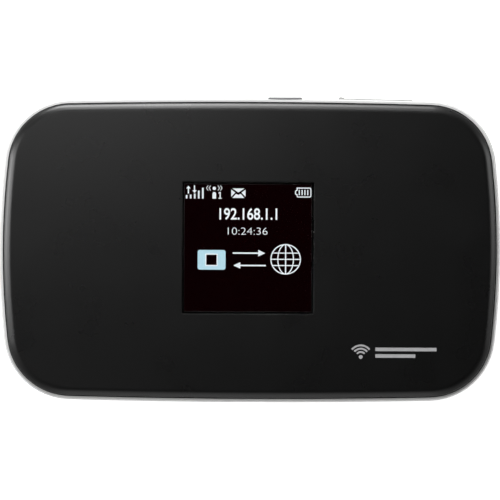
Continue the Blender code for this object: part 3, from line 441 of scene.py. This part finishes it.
def make_front_shell():
    """Black front with a rounded edge, a foot round its wall, and a stepped, square window opening."""
    shape = bmesh.new()
    wall, chamfer = mm(1.2, 0.06)
    foot, foot_height = mm(0.03, 0.35)
    low = FRONT - FRONT_DEPTH
    foot_top = low + foot_height
    edge_low = FRONT - EDGE_DROP
    outside = [
        (-wall, low), (foot - chamfer, low), (foot, low + chamfer), (foot, foot_top),
        (-FRONT_INSET, foot_top), (-FRONT_INSET, edge_low - chamfer),
    ]
    outside += rounded((-FRONT_INSET - chamfer / 2, edge_low), (-EDGE_ROUND, FRONT), steps=16, first=36)
    inner_width, inner_height = mm(1.5, 0.9)
    inner_start = (-wall, FRONT_INSIDE - inner_height)
    within = rounded(inner_start, (-wall - inner_width, FRONT_INSIDE), steps=5)
    outer = add_rings(shape, [case_outline(grow, height) for grow, height in outside])
    inner = add_rings(shape, [case_outline(grow, height) for grow, height in within])
    join_rings(shape, outer[0], inner[0])

    half = WINDOW / 2 + mm(0.12)
    corner, shelf_corner = mm(0.45, 0.3)
    fillet, ledge, shelf = mm(0.03, 0.95, 0.65)
    window = [
        (half + fillet, corner + fillet, FRONT),
        (half + fillet * 0.3, corner + fillet * 0.3, FRONT - fillet * 0.3),
        (half, corner, FRONT - fillet),
        (half, corner, FRONT - ledge),
        (half - shelf, shelf_corner, FRONT - ledge),
        (half - shelf, shelf_corner, FRONT_INSIDE),
    ]
    opening = add_rings(shape, [rounded_square(WINDOW_CENTRE, *ring) for ring in window])
    fill_between(shape, outer[-1], opening[0], 1)
    fill_between(shape, inner[-1], opening[-1], -1)
    fit_to_case(even_normals(new_piece("front_shell", shape)), "front_black", "front_cover")


def make_front_bosses():
    """Bosses under the front, each with a hole for one of the case's screws."""
    shape = bmesh.new()
    radius, hole_radius, chamfer = mm(2.3, 0.95, 0.15)
    hole_top = FRONT_INSIDE - mm(0.6)
    profile = [
        (hole_radius, hole_top), (hole_radius, BOSS_LOW + chamfer), (hole_radius + chamfer, BOSS_LOW),
        (radius - chamfer, BOSS_LOW), (radius, BOSS_LOW + chamfer),
        (radius, FRONT_INSIDE - chamfer), (radius + chamfer, FRONT_INSIDE),
    ]
    for screw in SCREWS:
        low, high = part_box(screw)
        middle = ((low.x + high.x) / 2, (low.y + high.y) / 2)
        made = add_rings(shape, [circle(middle, reach, height) for reach, height in profile])
        shape.faces.new(made[0])
        shape.faces.new(made[-1])
    fit_to_case(new_piece("front_bosses", shape, smooth_angle=30), "front_black")


def make_lens():
    """Clear lens with a fine polished chamfer, in the window opening."""
    shape = bmesh.new()
    half = WINDOW / 2 + mm(0.08)
    corner, chamfer, sunk = mm(0.4, 0.03, 0.02)
    top = WINDOW_HIGH.z - sunk
    profile = [
        (half, corner, WINDOW_LOW.z), (half, corner, top - chamfer), (half - chamfer, corner - chamfer, top),
    ]
    rings = add_rings(shape, [rounded_square(WINDOW_CENTRE, *ring) for ring in profile])
    shape.faces.new(list(reversed(rings[0])))
    shape.faces.new(rings[-1])
    fit_to_case(new_piece("window_lens", shape, smooth_angle=20), "window_clear", "display_window")


# --- Display picture -------------------------------------------------------------------------------------

# Outlines of the picture's symbols are in millimetres, right and down from the picture's top left corner.
PICTURE = mm(26.9)
PICTURE_LEFT = WINDOW_X - PICTURE / 2
PICTURE_TOP = WINDOW_Y + PICTURE / 2
PICTURE_Z = PANEL_TOP + mm(0.03)
PICTURE_DEPTH = mm(0.02)
LAYER_STEP = mm(0.002)
SHARPEST_MITRE = 0.4  # cosine of half the sharpest bend of a stroke whose width stays true


def arc(centre, radius, start, end, steps=24, squeeze=1.0):
    """Points on an arc, angles in degrees. squeeze narrows it across, and a minus sign mirrors it."""
    points = []
    for step in range(steps + 1):
        angle = math.radians(start + (end - start) * step / steps)
        points.append((centre[0] + squeeze * radius * math.cos(angle), centre[1] + radius * math.sin(angle)))
    return points


def rectangle(left, top, right, bottom, radius=0.0):
    """A rectangle, with rounded corners if a radius is given."""
    if not radius:
        return [(left, top), (right, top), (right, bottom), (left, bottom)]
    points = []
    for x, y, start in (
        (left + radius, top + radius, 180), (right - radius, top + radius, 270),
        (right - radius, bottom - radius, 0), (left + radius, bottom - radius, 90),
    ):
        points += arc((x, y), radius, start, start + 90, steps=5)
    return points


def ring_outline(centre, radius, width):
    """The two outlines of a ring of that width, radius being its outer one."""
    return [arc(centre, reach, 0, 360, steps=72)[:-1] for reach in (radius, radius - width)]


def arrow(length, head, half_head, half_line):
    """An arrow that starts at the origin and points along +X."""
    return [
        (0.0, -half_line), (length - head, -half_line), (length - head, -half_head), (length, 0.0),
        (length - head, half_head), (length - head, half_line), (0.0, half_line),
    ]


def stroke(points, width):
    """The outline of a line of that width along the points."""
    left, right = [], []
    for i, point in enumerate(points):
        before, after = Vector(points[max(i - 1, 0)]), Vector(points[min(i + 1, len(points) - 1)])
        along = (after - before).normalized()
        mitre = 1.0
        if 0 < i < len(points) - 1:
            incoming = (Vector(point) - before).normalized()
            mitre = 1.0 / max(along.dot(incoming), SHARPEST_MITRE)
        across = Vector((-along.y, along.x)) * width / 2 * mitre
        left.append(tuple(Vector(point) + across))
        right.append(tuple(Vector(point) - across))
    return left + list(reversed(right))


def flat_plate(name, outlines, material, height, depth):
    """A thin plate from outlines in metres; an outline inside another one is a hole."""
    curve = bpy.data.curves.new(name, "CURVE")
    curve.dimensions = "2D"
    curve.fill_mode = "BOTH"
    curve.extrude = depth / 2
    for outline in outlines:
        spline = curve.splines.new("POLY")
        spline.points.add(len(outline) - 1)
        for point, (x, y) in zip(spline.points, outline):
            point.co = (x, y, 0.0, 1.0)
        spline.use_cyclic_u = True
    return as_piece(name, curve, material, Matrix.Translation((0, 0, height + depth / 2)))


def as_piece(name, curve, material, matrix):
    """Turns a curve or a text into a mesh piece."""
    drawn = bpy.data.objects.new(name, curve)
    bpy.context.scene.collection.objects.link(drawn)
    bpy.context.view_layer.update()
    evaluated = drawn.evaluated_get(bpy.context.evaluated_depsgraph_get())
    mesh = bpy.data.meshes.new_from_object(evaluated)
    bpy.data.objects.remove(drawn)
    bpy.data.curves.remove(curve)
    mesh.transform(matrix)
    mesh.materials.clear()
    mesh.materials.append(material)
    mesh.name = name
    piece = bpy.data.objects.new(name, mesh)
    bpy.context.scene.collection.objects.link(piece)
    return piece


def on_picture(outline):
    """Picture millimetres, right and down from its top left corner, as places in the frame."""
    return [(PICTURE_LEFT + mm(x), PICTURE_TOP - mm(y)) for x, y in outline]


def picture_part(name, outlines, material, layer=0):
    """A lit symbol of the display's picture. Outlines that overlap go in separate parts, on higher layers."""
    height = PICTURE_Z + layer * LAYER_STEP
    plate = flat_plate(name, [on_picture(outline) for outline in outlines], material, height, PICTURE_DEPTH)
    fit_to_case(plate, "panel_black")


def picture_digits(name, digits, left, baseline, size, weight, material):
    """Digits whose box has that size, in picture millimetres. weight thickens the strokes."""
    text = bpy.data.curves.new(name, "FONT")
    text.body = digits
    text.offset = weight
    probe = bpy.data.objects.new(name, text)
    bpy.context.scene.collection.objects.link(probe)
    bpy.context.view_layer.update()
    corners = [Vector(corner) for corner in probe.bound_box]
    low_x, high_x = min(c.x for c in corners), max(c.x for c in corners)
    low_y, high_y = min(c.y for c in corners), max(c.y for c in corners)
    bpy.data.objects.remove(probe)
    width, height = mm(*size)
    across, up = width / (high_x - low_x), height / (high_y - low_y)
    text.extrude = PICTURE_DEPTH / 2
    origin = Vector((PICTURE_LEFT + mm(left), PICTURE_TOP - mm(baseline), PICTURE_Z + PICTURE_DEPTH / 2))
    matrix = Matrix.Translation(origin) @ Matrix.Diagonal((across, up, 1.0, 1.0))
    matrix = matrix @ Matrix.Translation((-low_x, -low_y, 0))
    fit_to_case(as_piece(name, text, material, matrix), "panel_black")


def make_picture():
    """The display's picture: status symbols, an address, the time, and a device that talks to the world."""
    pale = glow("picture_pale", (0.86, 0.92, 0.95))
    bright = glow("picture_bright", (0.93, 0.98, 1.0))
    blue = glow("picture_blue", (0.50, 0.77, 0.87))
    make_signal_symbol(pale)
    make_users_symbol(pale)
    make_message_symbol(pale)
    make_battery_symbol(pale)
    picture_digits("picture_address", "192.168.1.1", 7.37, 7.50, (12.30, 2.50), 0.014, bright)
    picture_digits("picture_time", "10:24:36", 9.16, 10.66, (8.45, 1.52), -0.014, pale)
    make_device_symbol(blue, bright)
    make_exchange_symbol(pale)
    make_globe_symbol(pale)


def make_signal_symbol(material):
    """Five bars that rise to the right, and an up and a down arrow for data over them."""
    left, pitch, width, floor = 0.20, 0.86, 0.36, 3.02
    bars = []
    for i, height in enumerate((0.75, 0.85, 1.05, 1.70, 2.30)):
        start = left + i * pitch
        bars.append(rectangle(start, floor - height, start + width, floor))
    picture_part("picture_signal_bars", bars, material)
    outline = arrow(length=1.65, head=0.60, half_head=0.50, half_line=0.13)
    up_arrow = [(0.75 + y, 1.95 - x) for x, y in outline]
    down_arrow = [(2.05 - y, 0.20 + x) for x, y in outline]
    picture_part("picture_data_arrows", [up_arrow, down_arrow], material)


def make_users_symbol(material):
    """A person between two pairs of radio waves, and how many of them are connected."""
    middle, wave_top, wave_bottom, floor = 6.25, 0.22, 1.28, 3.02
    half_neck, half_body, shoulder, neck = 0.15, 0.39, 1.90, 1.60
    head_centre = (middle, 0.83)
    body = [(-half_body, floor), (-half_body, shoulder), (-half_neck, neck)]
    body = [(middle + x, y) for x, y in body] + [(middle - x, y) for x, y in reversed(body)]
    users = [arc(head_centre, 0.36, 0, 345, steps=23), body]
    wave_middle = (wave_top + wave_bottom) / 2
    for start, inwards in ((4.46, 1), (5.00, 1), (8.03, -1), (7.49, -1)):
        tip, back = start + inwards * 0.10, start + inwards * 0.50
        users.append(stroke([(back, wave_top), (tip, wave_middle), (back, wave_bottom)], 0.13))
    picture_part("picture_users", users, material)

    left, right, top, serif = 7.12, 7.88, 1.57, 0.16
    stem_left, stem_right = 7.38, 7.62
    one = [
        (stem_left, top), (stem_right, top), (stem_right, floor - serif), (right, floor - serif),
        (right, floor), (left, floor), (left, floor - serif), (stem_left, floor - serif),
        (stem_left, 1.88), (left + 0.02, 1.96), (left + 0.02, 1.78),
    ]
    picture_part("picture_user_count", [one], material)


def make_message_symbol(material):
    """An envelope in four parts, with dark folds between them."""
    left, top, right, bottom = 9.86, 0.82, 12.90, 2.85
    middle, fold, gap = (left + right) / 2, top + 1.12, 0.25
    flap = [(left + gap, top), (right - gap, top), (middle, fold - gap)]
    left_side = [(left, top + gap), (middle - 0.66, fold - 0.22), (left, bottom - gap)]
    right_side = [(2 * middle - x, y) for x, y in left_side]
    lower = [
        (left + gap, bottom), (middle - 0.50, fold + 0.04), (middle, fold + 0.28),
        (middle + 0.50, fold + 0.04), (right - gap, bottom),
    ]
    picture_part("picture_message", [flap, left_side, right_side, lower], material)


def make_battery_symbol(material):
    """A full battery gauge: a frame with cut corners and its tip on the left, round four bars."""
    outside = [
        (23.75, 0.57), (26.65, 0.57), (26.90, 0.82), (26.90, 2.45), (26.65, 2.70), (23.95, 2.70),
        (23.75, 2.45), (23.75, 2.20), (23.42, 2.00), (23.42, 1.28), (23.75, 1.08),
    ]
    inside = [
        (24.00, 0.80), (26.55, 0.80), (26.68, 0.93), (26.68, 2.34), (26.55, 2.47), (24.05, 2.47),
        (23.98, 2.35), (23.98, 2.05), (23.65, 1.90), (23.65, 1.38), (23.98, 1.23),
    ]
    outlines = [outside, inside]
    first, pitch, width, top, bottom = 24.20, 0.60, 0.25, 1.07, 2.20
    for i in range(4):
        start = first + i * pitch
        outlines.append(rectangle(start, top, start + width, bottom))
    picture_part("picture_battery", outlines, material)


def make_device_symbol(body, screen):
    """A hotspot with a lit frame round its dark screen."""
    left, top, right, bottom, side_width, end_width = 4.42, 14.72, 7.02, 17.35, 0.20, 0.22
    opening = rectangle(left, top, right, bottom)
    inside = rectangle(left + side_width, top + end_width, right - side_width, bottom - end_width)
    picture_part("picture_device", [rectangle(2.78, 13.94, 8.71, 18.13, radius=0.45), opening], body)
    picture_part("picture_device_screen", [opening, inside], screen, layer=1)


def make_exchange_symbol(material):
    """Two arrows, one each way."""
    left, right = 10.22, 17.30
    outline = arrow(length=6.93, head=1.5, half_head=0.70, half_line=0.155)
    there = [(left + x, 14.57 + y) for x, y in outline]
    back = [(right - x, 17.20 + y) for x, y in outline]
    picture_part("picture_arrows", [there, back], material)


def make_globe_symbol(material):
    """A globe: a rim, two meridians, an axis and three parallels."""
    centre, radius, rim = (21.49, 15.85), 3.25, 0.24
    meridian, half_axis, half_axis_length, half_parallel = 0.22, 0.13, 3.10, 0.11
    inner_radius = radius - rim / 2
    picture_part("picture_globe_rim", ring_outline(centre, radius, rim), material)
    for i, squeeze in enumerate((0.53, -0.53), start=1):
        path = arc(centre, inner_radius, -90, 90, squeeze=squeeze)
        picture_part(f"picture_globe_meridian_{i}", [stroke(path, meridian)], material, layer=1)
    x, y = centre
    axis = rectangle(x - half_axis, y - half_axis_length, x + half_axis, y + half_axis_length)
    picture_part("picture_globe_axis", [axis], material, layer=2)
    for i, offset in enumerate((-1.33, 0.0, 1.33), start=1):
        reach = math.sqrt(inner_radius**2 - offset**2)
        level = y + offset
        parallel = rectangle(x - reach, level - half_parallel, x + reach, level + half_parallel)
        picture_part(f"picture_globe_parallel_{i}", [parallel], material, layer=3)


# --- Printed mark ----------------------------------------------------------------------------------------


def make_front_mark():
    """Generic silver print at the lower right of the front: three arcs over a dot, and two plain lines."""
    ink = (
        Finish("mark_silver", (0.46, 0.46, 0.47), 0.42, metallic=0.2)
        .vary_colour(mm(1), (0.44, 0.44, 0.45), (0.48, 0.48, 0.49))
        .grain(mm(0.1), mm(0.0008))
    )
    left, base = mm(21.8, -23.0)
    middle = (left + mm(1.9), base + mm(0.5))
    dot_radius, arc_width = mm(0.42, 0.38)
    outlines = [arc(middle, dot_radius, 0, 345, steps=23)]
    for radius in mm(1.05, 1.75, 2.45):
        outlines.append(stroke(arc(middle, radius, 40, 140, steps=16), arc_width))
    start, line_width = left + mm(5.0), mm(0.75)
    for low, length in (mm(1.75, 13.0), mm(0.35, 8.5)):
        outlines.append(rectangle(start, base + low, start + length, base + low + line_width))
    lift, depth = mm(0.004, 0.008)
    fit_to_case(flat_plate("front_mark", outlines, ink.material, FRONT + lift, depth), "front_black")


# --- Stage, light and camera -----------------------------------------------------------------------------


def softbox(name, azimuth, lean, reach, size, radiance):
    """A rectangular light that faces the object, and whose surface shines with that radiance.

    azimuth turns from +X towards +Y and lean is from straight overhead, both in degrees. reach is how far it
    is from the front's middle, and size is its width and height.
    """
    lamp = bpy.data.lights.new(name, "AREA")
    lamp.shape = "RECTANGLE"
    lamp.size, lamp.size_y = size
    lamp.energy = radiance * math.pi * size[0] * size[1]
    light = bpy.data.objects.new(name, lamp)
    light.visible_camera = False
    bpy.context.scene.collection.objects.link(light)
    turn, tilt = math.radians(azimuth), math.radians(lean)
    away = Vector((math.sin(tilt) * math.cos(turn), math.sin(tilt) * math.sin(turn), math.cos(tilt)))
    light.location = Vector((0, 0, FRONT)) + reach * away
    light.rotation_euler = (-away).to_track_quat("-Z", "Y").to_euler()


def make_floor():
    """A wide pale floor that glows like a light table, so that it looks white and brightens the low walls."""
    half_size, clearance = 20.0, mm(0.02)
    glow_cast, glow_seen = 0.45, 0.75
    shape = bmesh.new()
    bmesh.ops.create_grid(shape, x_segments=1, y_segments=1, size=half_size)
    floor = new_piece("floor", shape)
    floor.location.z = cad_bounds[0].z - clearance
    paper = Finish("floor_paper", (0.82, 0.82, 0.82), 0.8, Emission_Color=(1, 1, 1, 1))
    paper.grain(mm(2), mm(0.002))
    seen = paper.add("ShaderNodeLightPath").outputs["Is Camera Ray"]
    strength = paper.between(seen, glow_cast, glow_seen, start=0.0, end=1.0)
    paper.links.new(strength, paper.shader.inputs["Emission Strength"])
    floor.data.materials.append(paper.material)


def make_world():
    """Studio walls: pale round the horizon and dark overhead, where the camera stands."""
    dim_from, dark_from = 0.66, 0.95
    wall_strength, ceiling_strength = 0.34, 0.003
    world = bpy.data.worlds.new("studio")
    bpy.context.scene.world = world
    world.use_nodes = True
    nodes, links = world.node_tree.nodes, world.node_tree.links
    coordinates = nodes.new("ShaderNodeTexCoord")
    parts = nodes.new("ShaderNodeSeparateXYZ")
    links.new(coordinates.outputs["Generated"], parts.inputs["Vector"])
    ramp = nodes.new("ShaderNodeMapRange")
    ramp.interpolation_type = "SMOOTHSTEP"
    for index, value in enumerate((dim_from, dark_from, wall_strength, ceiling_strength), start=1):
        ramp.inputs[index].default_value = value
    links.new(parts.outputs["Z"], ramp.inputs["Value"])
    links.new(ramp.outputs["Result"], nodes["Background"].inputs["Strength"])
    nodes["Background"].inputs["Color"].default_value = (1, 1, 1, 1)


def make_lights():
    """Two softboxes beyond the key's edge, two at the left, a weak one at each other edge, one overhead."""
    softbox("top_low", 99, 61.2, 0.48, (0.20, 0.194), 10.6)
    softbox("top_high", 97, 38.2, 0.45, (0.095, 0.209), 5.8)
    softbox("left_low", 174.7, 64.6, 0.50, (0.157, 0.269), 4.4)
    softbox("left_high", 175, 40, 0.45, (0.082, 0.264), 6.4)
    softbox("right_softbox", 10, 52.1, 0.50, (0.141, 0.347), 1.85)
    softbox("bottom_softbox", 269.6, 50.8, 0.50, (0.205, 0.447), 0.48)
    softbox("overhead", 119, 11.5, 0.33, (0.09, 0.03), 3.0)


def make_camera():
    """A long lens straight above the front, tipped and turned a little."""
    reach = 2.5
    tip = math.radians(1.0)
    roll = math.radians(0.27)
    shown = mm(106.25)
    target = Vector((mm(0.055), mm(0.12), FRONT))
    data = bpy.data.cameras.new("camera")
    data.sensor_width = 36.0
    data.lens = data.sensor_width * reach / shown
    data.clip_start, data.clip_end = 0.1, 50.0
    camera = bpy.data.objects.new("camera", data)
    bpy.context.scene.collection.objects.link(camera)
    camera.location = target + reach * Vector((0, math.sin(tip), math.cos(tip)))
    camera.rotation_euler = (Matrix.Rotation(-tip, 3, "X") @ Matrix.Rotation(roll, 3, "Z")).to_euler()
    bpy.context.scene.camera = camera


# --- CAD nodes that stay ---------------------------------------------------------------------------------


def carry_over(node, slot):
    """Gives a CAD node the finish of its slot, and fine bevels along its sharp edges."""
    piece = frame["nodes"][node]
    piece.data.materials.clear()
    piece.data.materials.append(FINISHES[slot])
    if "custom_normal" in piece.data.attributes:
        piece.data.attributes.remove(piece.data.attributes["custom_normal"])
    weld = piece.modifiers.new("Weld", "WELD")
    weld.merge_threshold = mm(0.001)
    piece.data.shade_smooth()
    bevel = piece.modifiers.new("Fine bevel", "BEVEL")
    bevel.width = mm(0.05)
    bevel.segments = 2
    bevel.limit_method = "ANGLE"
    bevel.angle_limit = math.radians(35)
    bevel.harden_normals = True


# --- Scene -----------------------------------------------------------------------------------------------

make_front_shell()
make_front_bosses()
make_lens()
make_picture()
make_front_mark()
for entry in frame["record"]["subparts"]:
    if entry["node"] not in ("front_cover", "display_window"):
        carry_over(entry["node"], entry["material_slot"])
make_floor()
make_world()
make_lights()
make_camera()
bpy.context.scene.view_settings.view_transform = "Standard"
